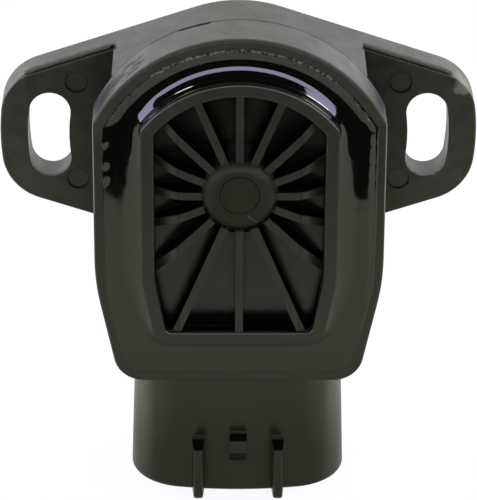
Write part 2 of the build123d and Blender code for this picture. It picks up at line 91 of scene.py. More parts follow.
class Finish:
    """A node material in the making: each method adds nodes and hands back their output."""

    def __init__(self, name):
        self.material = bpy.data.materials.new(name)
        self.material.use_nodes = True
        self.tree = self.material.node_tree
        self.shader = self.tree.nodes["Principled BSDF"]
        place = self.node("ShaderNodeTexCoord").outputs["Object"]
        to_mm = self.node("ShaderNodeVectorMath", [(0, place)], [("Scale", 1 / MM)], operation="SCALE")
        self.place = to_mm.outputs["Vector"]
        self.x, self.y, self.z = self.node("ShaderNodeSeparateXYZ", [(0, self.place)]).outputs
        self.depth = self.math("MULTIPLY", self.y, -1.0)
        self.side = self.math("ABSOLUTE", self.x)
        self.reach = self.span(self.x, self.z, (0.0, 0.0))

    def node(self, kind, links=(), values=(), **settings):
        return add_node(self.tree, kind, links, values, **settings)

    def put(self, socket, value):
        """Links an output to a socket, or sets the socket to a plain value."""
        if isinstance(value, bpy.types.NodeSocket):
            self.tree.links.new(value, socket)
        else:
            socket.default_value = value

    def set(self, **values):
        """Fills the shader's inputs, named in lower case with underscores."""
        for name, value in values.items():
            words = name.replace("_", " ").title().replace("Ior", "IOR")
            self.put(self.shader.inputs[words], value)

    def math(self, operation, *values):
        made = self.node("ShaderNodeMath", operation=operation)
        for socket, value in zip(made.inputs, values):
            self.put(socket, value)
        return made.outputs[0]

    def noise(self, size, detail=2.0, stretch=(1, 1, 1)):
        """Cloudy noise from 0 to 1 with patches of a size, drawn out along an axis by stretch."""
        drawn = self.node("ShaderNodeMapping", [("Vector", self.place)], [("Scale", stretch)], vector_type="TEXTURE")
        patches = [("Scale", 1 / size), ("Detail", detail)]
        return self.node("ShaderNodeTexNoise", [("Vector", drawn.outputs["Vector"])], patches).outputs["Fac"]

    def fade(self, value, start, end, low=0.0, high=1.0):
        """Smooth step from low at start to high at end."""
        return smooth_step(self.tree, value, start, end, low, high)

    def blend(self, share, first, second):
        """Colour between two colours."""
        made = self.node("ShaderNodeMix", data_type="RGBA")
        self.put(made.inputs[SHARE], share)
        for socket, colour in ((FIRST_COLOUR, first), (SECOND_COLOUR, second)):
            self.put(made.inputs[socket], (*colour, 1) if isinstance(colour, tuple) else colour)
        return made.outputs[MIXED_COLOUR]

    def between(self, share, first, second):
        """Number between two numbers."""
        made = self.node("ShaderNodeMix")
        for socket, value in ((SHARE, share), (FIRST_NUMBER, first), (SECOND_NUMBER, second)):
            self.put(made.inputs[socket], value)
        return made.outputs[MIXED_NUMBER]

    def span(self, x, z, middle):
        """Distance across the front from a point."""
        squares = []
        for value, start in zip((x, z), middle):
            away = self.math("SUBTRACT", value, start)
            squares.append(self.math("MULTIPLY", away, away))
        return self.math("SQRT", self.math("ADD", *squares))

    def line(self, value, middle, half_width, soft):
        """1 where a value is within a half width of a middle one, fading to 0."""
        away = self.math("ABSOLUTE", self.math("SUBTRACT", value, middle))
        return self.fade(self.math("SUBTRACT", away, half_width), soft, 0.0)

    def all(self, first, *rest):
        """Product of masks, and of the share that they have."""
        for mask in rest:
            first = self.math("MULTIPLY", first, mask)
        return first

    def any(self, first, *rest):
        for mask in rest:
            first = self.math("MAXIMUM", first, mask)
        return first

    def bump(self, height, rise):
        """Normal of a surface whose height goes up by rise where the value is 1."""
        made = self.node("ShaderNodeBump", [("Height", height)], [("Distance", rise * MM)])
        return made.outputs["Normal"]

    def grain(self):
        return self.bump(self.noise(*GRAIN), GRAIN_RISE)


# Linear colours of the black plastic, of its marks, of painted highlights and of painted shade, and tints of what it
# mirrors
DARK_OLIVE, OLIVE = (0.0032, 0.0036, 0.0013), (0.0056, 0.0062, 0.0025)
TORN_AND_EDGE_DARK, TORN_AND_EDGE_PALE = (0.018, 0.0175, 0.007), (0.034, 0.033, 0.015)
RIM_DARK, RIM_PALE = (0.011, 0.0113, 0.0034), (0.014, 0.0144, 0.0046)
SCUFFED, WORN_AND_HIGHLIGHT, SHADE_BLACK = (0.004, 0.0043, 0.003), (0.2, 0.19, 0.1), (0.0006, 0.0006, 0.0003)
OLIVE_TINT, PLAIN_TINT = (0.96, 1.0, 0.7), (1.0, 1.0, 0.92)
# How strongly each place mirrors, barely at all where shade is painted, and how rough it is
PLASTIC_SHEEN, SLOT_SHEEN, SHROUD_SIDE_SHEEN = 0.5, 0.42, 0.95
SCUFF_SHEEN, TORN_AND_EDGE_SHEEN, SHADE_SHEEN = 0.1, 0.16, 0.02
EAR_SHEEN_RUN, EAR_SHEEN = (17.0, 27.0), (0.5, 0.64)
SATIN, SHROUD_ROUGHNESS, TORN_AND_EDGE_ROUGHNESS = (0.36, 0.44), 0.25, 0.65
# Noises, each with its size and detail, and the range of values that is used of it
MOTTLE, MOTTLE_RANGE = (2.5, 4), (0.3, 0.7)
RAGGED, RAGGED_RANGE = (0.9, 4), (0.25, 0.75)
SPECKS, SPECKS_RANGE = (0.28, 2), (0.35, 0.65)
BLOTCHES, BLOTCHES_RANGE, BLOTCHES_LEAST = (1.7, 3), (0.36, 0.6), 0.8
STREAKS, STREAKS_RANGE = (0.7, 4, (2.2, 1.0, 2.2)), (0.4, 0.5)

# Below, a pair is where a place starts to fade in and where it is in full, a triple is a line's middle, half
# width and softness, and a wander is how far an edge strays.
# Drum: its upper part, the parting seam with its gap, its wall, rounded edge and rim, and the scuffs on its left
DRUM_REACH, DRUM_FOOT = (18.95, 19.1), (6.0, 8.0)
# The seam's dark line is painted shadow of the gap under the drum's rear edge
SEAM_DEPTH, SEAM_WANDER, SEAM_SOFT = 13.72, 0.08, 0.06
SEAM_LEAST, SEAM_SWELL, SEAM_GAP, SEAM_GAP_SWELL = -0.03, 0.2, (-5.2, 1.5, 0.6), 0.42
WALL_REAR, WALL_FRONT = (4.6, 4.8), (19.4, 19.2)
# The rounded edge takes the torn places' paler, dull tone, painted as its shading
ROUNDED_EDGE = (19.7, 0.26, 0.08)
RIM_FRONT, RIM_TOP = (19.9, 19.97), (4.0, 10.0)
# The side edges are painted pale as highlights
SIDE_EDGE, SIDE_EDGE_FRONT, SIDE_EDGE_RUN = (17.3, 0.01, 0.05), (19.6, 19.7), (3.0, 5.5, 1.0)
SIDE_EDGE_SHARE = 0.8
SCUFF_SIDE, SCUFF_FOOT, SCUFF_REAR, SCUFF_FRONT = (-10.8, -11.8), (9.0, 10.5), (14.3, 15.3), (18.9, 18.4)
# Ears: their upper walls with a rough band, the lines along the upper edges, and the pockets' inner corner
EAR_SLOPE = radians(18.6)
EAR_ROOT, EAR_END, EAR_FRONT = (15.1, 15.2), (4.6, 4.5), (4.2, 4.35)
EAR_TOP, EAR_TOP_WALL = (15.9, 16.0), (16.0, 16.05)
BAND, BAND_WANDER = (2.7, 4.0), 0.25
# A line of painted shade along the ears' upper edges
EDGE_SHADE_HEIGHT, EDGE_SHADE_WANDER, EDGE_SHADE_WIDTH, EDGE_SHADE_RANGE = 15.95, 0.04, (0.03, 0.05), (0.25, 0.45)
# A painted highlight just below the ears' line of painted shade
CREST, CREST_SHARE = (15.7, 0.03, 0.1), 0.12
# Painted shade in the pockets' inner corner
POCKET_CORNER, CORNER_SHADE_REACH, CORNER_SHADE_WANDER = (15.3, 12.0), (0.55, 0.25), 0.3
CORNER_SHADE_REAR, CORNER_SHADE_FRONT = (3.9, 4.3), (5.9, 5.4)
# Ears: rings left by ejector pins above and below a middle height, slots with torn teeth, and a worn corner
RING_MIDDLE, RING_PLACE = 0.55, (19.85, 6.5)
# The rings' edges are painted dark as the shade of their sunken step
RING, RING_FRONT, RING_SHARE = (1.35, 0.04, 0.06), (4.1, 4.2), 0.6
SLOT_MIDDLE, SLOT_WALL, SLOT_WANDER = (23.19, -3.09), (2.75, 2.65), 0.12
FRINGE_REACH, FRINGE_TOP, FRINGE_FRONT, TEETH_LENGTH = (2.9, 2.8), (-4.2, -4.9), (4.02, 4.1), 0.45
WORN_CORNER, WORN_REACH, WORN_REAR = (27.6, 6.6), (1.5, 0.7), (1.0, 2.5)
WORN_WANDER, WORN_SHARE = 0.4, 0.4
# Plug shroud: its sides, and the guide fins and latch lug that stand proud of its front
SHROUD_TOP, SHROUD_SIDE = (-27.0, -28.0), (10.3, 11.8)
# Painted shade on the upper ends of the fins and the lug, under the drum's overhang, and on the lug's foot
PROUD_FRONT, PROUD_TOP = (18.65, 18.75), (-28.0, -28.5)
LUG, LUG_TOP, FIN_TOP, TOP_EDGE = (0.0, 2.0, 0.1), -34.3, -35.1, (-0.35, -0.1)
LUG_FOOT, LUG_FOOT_SHARE = (-36.1, -36.3), 0.7


class HousingFinish(Finish):
    """The housing's plastic in the making, with the masks of its places, its marks and its painted shade."""

    def __init__(self):
        super().__init__("housing_plastic")
        self.mottle, self.ragged, self.specks = (self.noise(*patches) for patches in (MOTTLE, RAGGED, SPECKS))
        self.jitter = self.fade(self.ragged, *RAGGED_RANGE, -1.0, 1.0)
        self.on_drum = self.all(self.fade(self.reach, *DRUM_REACH), self.fade(self.z, *DRUM_FOOT))
        self.on_ear = self.all(self.fade(self.side, *EAR_ROOT), self.fade(self.depth, *EAR_END))
        self.on_ear_front = self.fade(self.depth, *EAR_FRONT)
        rise = self.math("MULTIPLY", self.z, cos(EAR_SLOPE))
        self.ear_height = self.math("MULTIPLY_ADD", self.side, sin(EAR_SLOPE), rise)
        self.slot_reach = self.stray(self.span(self.side, self.z, SLOT_MIDDLE), SLOT_WANDER)

    def stray(self, value, wander):
        """Value that strays to and fro, for a ragged edge."""
        return self.math("MULTIPLY_ADD", self.jitter, wander, value)

    def seam(self):
        """Painted shadow of the parting seam's gap round the drum's rear, wider where the gap widens."""
        width = self.math("MULTIPLY_ADD", self.mottle, SEAM_SWELL, SEAM_LEAST)
        width = self.math("MULTIPLY_ADD", self.line(self.x, *SEAM_GAP), SEAM_GAP_SWELL, width)
        seam = self.line(self.depth, self.stray(SEAM_DEPTH, SEAM_WANDER), width, SEAM_SOFT)
        return self.all(seam, self.on_drum)

    def ear_shade(self):
        """Painted shade along the ears' upper edges, in the pockets' inner corner and round the ejector pins' rings.
        """
        edge_shade = self.line(self.ear_height, self.stray(EDGE_SHADE_HEIGHT, EDGE_SHADE_WANDER), *EDGE_SHADE_WIDTH)
        edge_shade = self.all(self.on_ear, edge_shade, self.on_ear_front, self.fade(self.ragged, *EDGE_SHADE_RANGE))
        corner_shade = self.fade(self.stray(self.span(self.side, self.z, POCKET_CORNER), CORNER_SHADE_WANDER), *CORNER_SHADE_REACH)
        corner_shade = self.all(corner_shade, self.fade(self.depth, *CORNER_SHADE_REAR), self.fade(self.depth, *CORNER_SHADE_FRONT))
        from_middle = self.math("ABSOLUTE", self.math("SUBTRACT", self.z, RING_MIDDLE))
        ring = self.line(self.span(self.side, from_middle, RING_PLACE), *RING)
        ring = self.all(ring, self.fade(self.depth, *RING_FRONT), self.on_ear, RING_SHARE)
        return self.any(edge_shade, corner_shade, ring)

    def shroud_shade(self):
        """Painted shade on the fins' and the lug's upper ends, under the drum's overhang, and on the lug's foot."""
        proud = self.all(self.fade(self.depth, *PROUD_FRONT), self.fade(self.z, *PROUD_TOP))
        lug = self.line(self.x, *LUG)
        above = self.math("SUBTRACT", self.z, self.between(lug, FIN_TOP, LUG_TOP))
        foot = self.all(lug, self.fade(self.z, *LUG_FOOT, 0.0, LUG_FOOT_SHARE))
        return self.all(proud, self.any(self.fade(above, *TOP_EDGE), foot))

    def torn_and_edge_shade_places(self):
        """Rough band on the ears' upper walls, torn fringe in the slots, and painted shading on the drum's rounded
        edge.
        """
        band = self.fade(self.stray(self.depth, BAND_WANDER), *BAND)
        band = self.all(self.on_ear, band, self.fade(self.ear_height, *EAR_TOP))
        teeth = self.fade(self.specks, *SPECKS_RANGE, -1.0, 1.0)
        fringe = self.fade(self.math("MULTIPLY_ADD", teeth, TEETH_LENGTH, self.depth), *FRINGE_FRONT)
        fringe = self.all(self.fade(self.slot_reach, *FRINGE_REACH), self.fade(self.z, *FRINGE_TOP), fringe)
        return self.any(band, fringe, self.all(self.on_drum, self.line(self.depth, *ROUNDED_EDGE)))

    def worn_and_highlit_places(self):
        """Pale worn corner of the right ear, and painted highlights on the ears' crest and the drum's side edges."""
        corner = self.fade(self.stray(self.span(self.x, self.z, WORN_CORNER), WORN_WANDER), *WORN_REACH)
        corner = self.all(corner, self.fade(self.depth, *WORN_REAR), WORN_SHARE)
        crest = self.all(self.on_ear, self.line(self.ear_height, *CREST), self.on_ear_front, CREST_SHARE)
        edges = self.all(self.line(self.side, *SIDE_EDGE), self.fade(self.depth, *SIDE_EDGE_FRONT))
        return self.any(corner, crest, self.all(edges, self.line(self.z, *SIDE_EDGE_RUN), SIDE_EDGE_SHARE))

    def scuffs(self):
        """Dark streaks on the drum's upper left."""
        across = self.all(self.on_drum, self.fade(self.x, *SCUFF_SIDE), self.fade(self.z, *SCUFF_FOOT))
        along = self.all(self.fade(self.depth, *SCUFF_REAR), self.fade(self.depth, *SCUFF_FRONT))
        return self.all(across, along, self.fade(self.noise(*STREAKS), *STREAKS_RANGE))

    def ear_sheen(self):
        """Sheen of the ears, which grows towards their tips and is blotchy on their fronts."""
        blotches = self.fade(self.noise(*BLOTCHES), *BLOTCHES_RANGE, BLOTCHES_LEAST, 1.0)
        growing = self.fade(self.side, *EAR_SHEEN_RUN, *EAR_SHEEN)
        return self.all(growing, self.between(self.on_ear_front, 1.0, blotches))


def housing_plastic():
    """Glass-filled black plastic: satin, faintly mottled, torn and worn in places, with painted shade and
    highlights.
    """
    finish = HousingFinish()
    painted_shade = finish.any(finish.seam(), finish.ear_shade(), finish.shroud_shade())
    torn_and_edge_shade, scuffed = finish.torn_and_edge_shade_places(), finish.scuffs()
    slot_wall = finish.fade(finish.slot_reach, *SLOT_WALL)
    on_shroud = finish.fade(finish.z, *SHROUD_TOP)
    shroud_side = finish.all(finish.fade(finish.side, *SHROUD_SIDE), on_shroud)
    sheen = finish.between(slot_wall, finish.ear_sheen(), SLOT_SHEEN)
    sheen = finish.between(finish.on_ear, PLASTIC_SHEEN, sheen)
    sheen = finish.between(shroud_side, sheen, SHROUD_SIDE_SHEEN)
    sheen = finish.between(torn_and_edge_shade, finish.between(scuffed, sheen, SCUFF_SHEEN), TORN_AND_EDGE_SHEEN)
    wall = finish.all(finish.fade(finish.depth, *WALL_REAR), finish.fade(finish.depth, *WALL_FRONT))
    ear_wall = finish.fade(finish.ear_height, *EAR_TOP_WALL)
    lit_walls = finish.any(finish.all(finish.on_drum, wall), ear_wall, slot_wall)
    on_rim = finish.all(finish.fade(finish.depth, *RIM_FRONT), finish.fade(finish.z, *RIM_TOP))
    bare = finish.blend(scuffed, finish.blend(finish.mottle, DARK_OLIVE, OLIVE), SCUFFED)
    bare = finish.blend(torn_and_edge_shade, bare, finish.blend(finish.specks, TORN_AND_EDGE_DARK, TORN_AND_EDGE_PALE))
    bare = finish.blend(finish.worn_and_highlit_places(), bare, WORN_AND_HIGHLIGHT)
    bare = finish.blend(on_rim, bare, finish.blend(finish.mottle, RIM_DARK, RIM_PALE))
    satin = finish.between(on_shroud, finish.fade(finish.mottle, *MOTTLE_RANGE, *SATIN), SHROUD_ROUGHNESS)
    finish.set(
        base_color=finish.blend(painted_shade, bare, SHADE_BLACK),
        specular_tint=finish.blend(lit_walls, OLIVE_TINT, PLAIN_TINT),
        specular_ior_level=finish.between(painted_shade, sheen, SHADE_SHEEN),
        roughness=finish.between(torn_and_edge_shade, satin, TORN_AND_EDGE_ROUGHNESS),
        normal=finish.grain(),
    )
    return finish.material


# Ribbed cover: its front, where the ribs bend and fall towards the frame, its recess and its hub
RIB_DEPTH, RIB_BEND, RIB_FALL, FRONT_EDGE = 21.8, 7.3, 0.61, (0.3, 0.05)
RECESS, LOWER_RECESS = (18.912, 18.902), (-5.0, -9.0)
HUB_RADIUS, HUB_EDGE, HUB_FOOT, HUB_FOOT_TOP = 4.3, (4.7, 4.55), (3.0, 4.3), (-0.5, -2.5)
# Painted shade below the hub, scratches on it and a line of flash on the recess's lower wall
COVER_RAGGED = (0.5, 4)
HUB_UNDER_SHADE, HUB_UNDER_SHADE_TOP, HUB_UNDER_SHADE_RANGE = (HUB_RADIUS, 0.1, 0.12), (0.5, -1.5), (0.4, 0.52)
SCRATCH_SLOPE, SCRATCH_WANDER, SCRATCH = 0.7, 0.6, (-1.4, 0.02, 0.04)
SCRATCH_X, SCRATCH_Z = (1.6, 0.6, 0.1), (-2.8, 0.6, 0.2)
FLASH_LINE, FLASH_LINE_X, FLASH_LINE_TOP = (20.25, 0.04, 0.06), (-2.9, 3.4, 0.4), (-17.2, -17.5)
FLASH_LINE_WANDER, FLASH_LINE_RANGE, FLASH_LINE_SHARE = 0.3, (0.4, 0.6), (0.1, 0.6)
# Their linear colours, the painted shade of the walls and of the hub's foot among them, sheen and roughness
WALL_SHADE, HUB_DARK, HUB_PALE = (0.0012, 0.0013, 0.0005), (0.0075, 0.0082, 0.0028), (0.012, 0.013, 0.005)
HUB_FOOT_SHADE, SCRATCH_PALE, RECESS_TINT = (0.0025, 0.0028, 0.001), (0.05, 0.05, 0.034), (0.96, 1.0, 0.82)
COVER_SHEEN_RUN, COVER_SHEEN, HUB_SHEEN = (4.0, 12.0), (0.5, 0.58), 0.14
COVER_ROUGHNESS, RECESS_ROUGHNESS, HUB_ROUGHNESS, SATIN_SPREAD = 0.42, 0.26, 0.46, (-0.03, 0.03)


def cover_plastic():
    """The same plastic, satin on the frame, ribs and hub, smoother on the recess, with painted shade on the walls
    and under the hub.
    """
    finish = Finish("cover_plastic")
    mottle, ragged = finish.noise(*MOTTLE), finish.noise(*COVER_RAGGED)
    bent = finish.math("MAXIMUM", 0.0, finish.math("SUBTRACT", finish.side, RIB_BEND))
    crest = finish.math("MULTIPLY_ADD", bent, -RIB_FALL, RIB_DEPTH)
    front = finish.fade(finish.math("SUBTRACT", crest, finish.depth), *FRONT_EDGE)
    recess = finish.fade(finish.depth, *RECESS)
    hub = finish.fade(finish.reach, *HUB_EDGE)
    # Painted shade on the hub's lower rounding
    hub_foot_shade = finish.all(hub, finish.fade(finish.reach, *HUB_FOOT), finish.fade(finish.z, *HUB_FOOT_TOP))
    hub_under_shade = finish.all(finish.line(finish.reach, *HUB_UNDER_SHADE), finish.fade(finish.z, *HUB_UNDER_SHADE_TOP))
    hub_under_shade = finish.all(hub_under_shade, finish.fade(ragged, *HUB_UNDER_SHADE_RANGE))
    scratch = finish.math("MULTIPLY_ADD", finish.x, SCRATCH_SLOPE, finish.z)
    scratch = finish.line(finish.math("MULTIPLY_ADD", ragged, SCRATCH_WANDER, scratch), *SCRATCH)
    scratch = finish.all(scratch, finish.line(finish.x, *SCRATCH_X), finish.line(finish.z, *SCRATCH_Z), front)
    flash_line = finish.line(finish.math("MULTIPLY_ADD", ragged, FLASH_LINE_WANDER, finish.depth), *FLASH_LINE)
    flash_line = finish.all(flash_line, finish.fade(ragged, *FLASH_LINE_RANGE, *FLASH_LINE_SHARE))
    flash_line = finish.all(flash_line, finish.line(finish.x, *FLASH_LINE_X), finish.fade(finish.z, *FLASH_LINE_TOP))
    sheen = finish.all(finish.any(front, recess), finish.fade(finish.z, *COVER_SHEEN_RUN, *COVER_SHEEN))
    rough = finish.fade(recess, 0.0, 1.0, COVER_ROUGHNESS, RECESS_ROUGHNESS)
    # Walls painted near black as shade
    bare = finish.blend(front, WALL_SHADE, finish.blend(mottle, DARK_OLIVE, OLIVE))
    bare = finish.blend(hub, bare, finish.blend(mottle, HUB_DARK, HUB_PALE))
    bare = finish.blend(hub_foot_shade, bare, HUB_FOOT_SHADE)
    bare = finish.blend(finish.any(flash_line, scratch), bare, SCRATCH_PALE)
    lower_recess = finish.all(recess, finish.fade(finish.z, *LOWER_RECESS))
    satin = finish.fade(mottle, *MOTTLE_RANGE, *SATIN_SPREAD)
    finish.set(
        base_color=finish.blend(hub_under_shade, bare, SHADE_BLACK),
        specular_tint=finish.blend(lower_recess, OLIVE_TINT, RECESS_TINT),
        specular_ior_level=finish.between(hub_under_shade, finish.between(hub, sheen, HUB_SHEEN), SHADE_SHEEN),
        roughness=finish.math("ADD", satin, finish.between(hub, rough, HUB_ROUGHNESS)),
        normal=finish.grain(),
    )
    return finish.material


# Resin: its dusty haze, its tints below, above and where it creeps up the cover's arch, and its gloss
HAZE, HAZE_RANGE, RESIN_ROUGHNESS, RESIN_IOR = (1.2, 3), (0.3, 0.75), (0.04, 0.1), 1.55
RESIN_DARK, RESIN_PALE = (0.001, 0.0013, 0.0004), (0.002, 0.0024, 0.0012)
LOWER_TINT, UPPER_TINT, CREEP_TINT = (0.96, 1.0, 0.76), (1.0, 1.0, 0.88), (1.0, 0.98, 0.55)
UPPER_RESIN, CREEP_DEPTH, CREEP_FOOT = (-2.0, 4.0), (20.7, 20.9), (6.0, 8.0)


def casting_resin():
    """Black casting resin: a mirror where it is thick, dulled a little by dust."""
    finish = Finish("potting_resin")
    haze = finish.noise(*HAZE)
    tint = finish.blend(finish.fade(finish.z, *UPPER_RESIN), LOWER_TINT, UPPER_TINT)
    creep = finish.all(finish.fade(finish.depth, *CREEP_DEPTH), finish.fade(finish.z, *CREEP_FOOT))
    finish.set(
        base_color=finish.blend(haze, RESIN_DARK, RESIN_PALE),
        specular_tint=finish.blend(creep, tint, CREEP_TINT),
        ior=RESIN_IOR,
        roughness=finish.fade(haze, *HAZE_RANGE, *RESIN_ROUGHNESS),
    )
    return finish.material


# Torn crumbs of flash
CRUMBS, CRUMBS_RANGE, CRUMB_SHEEN, CRUMB_ROUGHNESS = (0.4, 3), (0.35, 0.65), (0.05, 0.2), 0.55
CRUMB_DARK, CRUMB_PALE = (0.008, 0.0085, 0.004), (0.072, 0.078, 0.037)


def flash_plastic():
    """Torn plastic: dull, in pale and dark crumbs."""
    finish = Finish("flash_plastic")
    crumbs = finish.fade(finish.noise(*CRUMBS), *CRUMBS_RANGE)
    finish.set(
        base_color=finish.blend(crumbs, CRUMB_DARK, CRUMB_PALE),
        specular_tint=(*OLIVE_TINT, 1),
        specular_ior_level=finish.fade(crumbs, 0.0, 1.0, *CRUMB_SHEEN),
        roughness=CRUMB_ROUGHNESS,
    )
    return finish.material


PATCH_DETAIL, PATCH_RANGE, ROUGHNESS_SPREAD, GRAIN_SHARE = 3, (0.25, 0.75), 0.05, 0.25


def speckled(name, first, second, size, roughness, metallic=0.0, grain=GRAIN_RISE, stretch=(1, 1, 1)):
    """Finish of an inner piece: two close colours in patches, with a grain that may be drawn out one way."""
    finish = Finish(name)
    patches = finish.noise(size, PATCH_DETAIL, stretch)
    spread = (roughness - ROUGHNESS_SPREAD, roughness + ROUGHNESS_SPREAD)
    finish.set(
        base_color=finish.blend(patches, first, second),
        roughness=finish.fade(patches, *PATCH_RANGE, *spread),
        metallic=metallic,
        normal=finish.bump(finish.noise(size * GRAIN_SHARE, stretch=stretch), grain),
    )
    return finish.material


def dress(material, *names):
    for name in names:
        nodes[name].data.materials.clear()
        nodes[name].data.materials.append(material)


# Gutter between the drum's rim and the cover's arch, as in the part's source: a round arch on straight flanks,
# which taper below a height to a foot with rounded corners
Arch = namedtuple("Arch", "radius half_width taper foot_half_width foot corner_power")
RIM = Arch(18.0, 16.15, -12.5, 13.6, -24.75, 29)
COVER = Arch(14.5, 11.75, -11.5, 10.15, -19.85, 17)
COVER_SHOULDER_POWER, SHARP_SHOULDER_POWER = 28, 400
SHOULDER_START = 0.1
FAR = 1000.0
OUTLINE_POINTS = 6000
# Mesh of the pool: points round the gutter and across it, crowded towards the cover, reaching into both walls
POOL_STATIONS, POOL_STEPS, POOL_CROWDING = 640, 72, 0.4
POOL_OVERLAP, SPILL_SLOPE, GUTTER_FLOOR_DEPTH = 0.3, 0.6, 17.25
RIPPLE, RIPPLE_LENGTH = 0.006, 2.2
# Section across the gutter at the arch, the flanks and the foot: how far its lowest line lies from the cover,
# how it curves up to the cover and how far it climbs
FLUSH_DEPTH, SINK, ARCH_SINK = 20.01, 0.3, 0.05
LOWEST, CURVE, CLIMB = (1.92, 2.45, 1.5), (1.9, 4.1, 1.5), (1.7, 0.85, 1.3)
FLANK_RIM_CURVE, STEEPEST = 9.0, 0.995
CROWN_START, CROWN_END, FOOT_START, FOOT_END = 4.0, 9.0, -9.0, -22.0
# Lip along the rim: it leans in along the arch, and along the flanks it is steeper, narrower and scalloped
Lip = namedtuple("Lip", "lean curve least scallops end")
ARCH_LIP, ARCH_LIP_LEAN, ARCH_LIP_CURVE = 1.35, sin(radians(6)), 16.0
LEFT_LIP = Lip(sin(radians(11)), 40.0, 0.12, (6.4, 3.4, 1.5), 7.0)
RIGHT_LIP = Lip(sin(radians(16)), 40.0, 0.92, (7.2, 4.6, 2.4, 0.4), 10.0)
FLANK_LIP, SCALLOP_RADIUS, LIP_END_SOFT = 0.8, 1.05, 1.0


def eased(first, second, power):
    """The smaller of two lengths, rounded off where they meet."""
    return (first**-power + second**-power) ** (-1 / power)


def smooth(value, start, end):
    share = min(1.0, max(0.0, (value - start) / (end - start)))
    return share * share * (3 - 2 * share)


def arch_reach(angle, arch):
    """Distance from the axis to an arch outline, along a direction at an angle in the XZ plane."""
    across, up = abs(cos(angle)), sin(angle)
    reach = arch.radius if up > 0 else FAR
    if across > 0:
        reach = min(reach, arch.half_width / across)
    run, drop = arch.half_width - arch.foot_half_width, arch.taper - arch.foot
    length = sqrt(run**2 + drop**2)
    lean = (drop * across - run * up) / length
    side = (drop * arch.half_width - run * arch.taper) / length / lean if lean > 0 else FAR
    base = arch.foot / up if up < 0 else FAR
    return min(reach, eased(side, base, arch.corner_power))


def outline(arch, shoulder_power):
    """Points along an arch outline with eased shoulders, to measure distances from."""
    points = KDTree(OUTLINE_POINTS)
    for k in range(OUTLINE_POINTS):
        angle = 2 * pi * k / OUTLINE_POINTS
        reach = arch_reach(angle, arch)
        if sin(angle) > 0 and abs(cos(angle)) > SHOULDER_START:
            reach = eased(1.0, arch.half_width / abs(cos(angle)) / arch.radius, shoulder_power) * arch.radius
        points.insert((reach * cos(angle), 0, reach * sin(angle)), k)
    points.balance()
    return points


def mixed(values, crown, foot):
    """Value between those at the arch, the flanks and the foot of the gutter."""
    at_arch, at_flank, at_foot = values
    return at_flank + (at_arch - at_flank) * crown + (at_foot - at_flank) * foot


def dish(offset, curve, lean=0.0):
    """Rise of a round hollow at an offset from its lowest line, where it may start with a lean."""
    end = min(STEEPEST, lean + offset / curve)
    return curve * (sqrt(1 - lean**2) - sqrt(1 - end**2))


def flank_lip(at, far):
    """Rise of the lip along a flank, which swells into scallops."""
    lip = LEFT_LIP if at.x < 0 else RIGHT_LIP
    swell = max(0.0, *(1 - ((at.z - height) / SCALLOP_RADIUS) ** 2 for height in lip.scallops))
    width = FLANK_LIP * (lip.least + (1 - lip.least) * sqrt(swell))
    ending = smooth(at.z, lip.end - LIP_END_SOFT, lip.end + LIP_END_SOFT)
    return dish(max(0.0, width - far), lip.curve, lip.lean) * (1 - ending)


def pool_depth(at, cover, rim):
    """Depth of the resin's surface at a point of the gutter: about flush with the rim, hollow towards the cover."""
    near, far = cover.find(at)[2], rim.find(at)[2]
    crown, foot = smooth(at.z, CROWN_START, CROWN_END), smooth(at.z, FOOT_START, FOOT_END)
    lowest = mixed(LOWEST, crown, foot)
    depth = FLUSH_DEPTH - ARCH_SINK * crown - SINK * (1 - foot)
    if near < lowest:
        return depth + min(mixed(CLIMB, crown, foot), dish(lowest - near, mixed(CURVE, crown, foot)))
    arch = dish(max(0.0, ARCH_LIP - far), ARCH_LIP_CURVE, ARCH_LIP_LEAN)
    flank = dish(near - lowest, FLANK_RIM_CURVE)
    return depth + (arch * crown + flank * (1 - crown) + flank_lip(at, far)) * (1 - foot)


def resin_pool(material):
    """Resin in the gutter: hollow across, creeping up the cover's arch and a little up the rim."""
    mesh = bpy.data.meshes.new("resin_pool")
    grid = bmesh.new()
    cover, rim = outline(COVER, COVER_SHOULDER_POWER), outline(RIM, SHARP_SHOULDER_POWER)
    rings = []
    for station in range(POOL_STATIONS):
        angle = 2 * pi * station / POOL_STATIONS
        way = Vector((cos(angle), 0, sin(angle)))
        inner, outer = arch_reach(angle, COVER), arch_reach(angle, RIM)
        start, end = inner - POOL_OVERLAP, outer + POOL_OVERLAP
        ring = []
        for step in range(POOL_STEPS + 1):
            share = step / POOL_STEPS
            reach = start + (end - start) * share * (POOL_CROWDING + (1 - POOL_CROWDING) * share)
            depth = pool_depth(way * min(outer, max(inner, reach)), cover, rim)
            depth -= SPILL_SLOPE * max(0.0, reach - outer)
            at = way * reach
            depth += RIPPLE * noise.noise(at / RIPPLE_LENGTH)
            ring.append(grid.verts.new(Vector((at.x, -depth, at.z)) * MM))
        for reach in (end, start):
            ring.append(grid.verts.new(Vector((way.x * reach, -GUTTER_FLOOR_DEPTH, way.z * reach)) * MM))
        rings.append(ring)
    for ring, following in zip(rings, rings[1:] + rings[:1]):
        for k in range(len(ring)):
            after = (k + 1) % len(ring)
            grid.faces.new((ring[k], ring[after], following[after], following[k]))
    bmesh.ops.recalc_face_normals(grid, faces=grid.faces)
    grid.to_mesh(mesh)
    grid.free()
    mesh.shade_smooth()
    pool = bpy.data.objects.new("resin_pool", mesh)
    bpy.context.scene.collection.objects.link(pool)
    mesh.materials.append(material)
    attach(pool, "sensor_body")
    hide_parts("potting_seal")
    return pool


# Flash along the rim: its arcs, each from one angle to another in degrees, and the run down the right edge
ARC_POINTS = 60
FLASH_RADIUS, FLASH_DEPTH, SPECK_INSET = 17.9, 20.0, 0.15
RIDGE_ANGLES, DASH_ANGLES, LEFT_ANGLES = (126, 52), (50, 30), (152, 128)
RIGHT_SIDE, RIGHT_HEIGHTS = RIM.half_width + 0.05, (6.8, -1.5)
# Limits of a lump's random stray, mostly in the rim's plane, and of its random size
STRAY_LIMIT, LEAST_SWELL = Vector((1, 0.3, 1)), 0.35


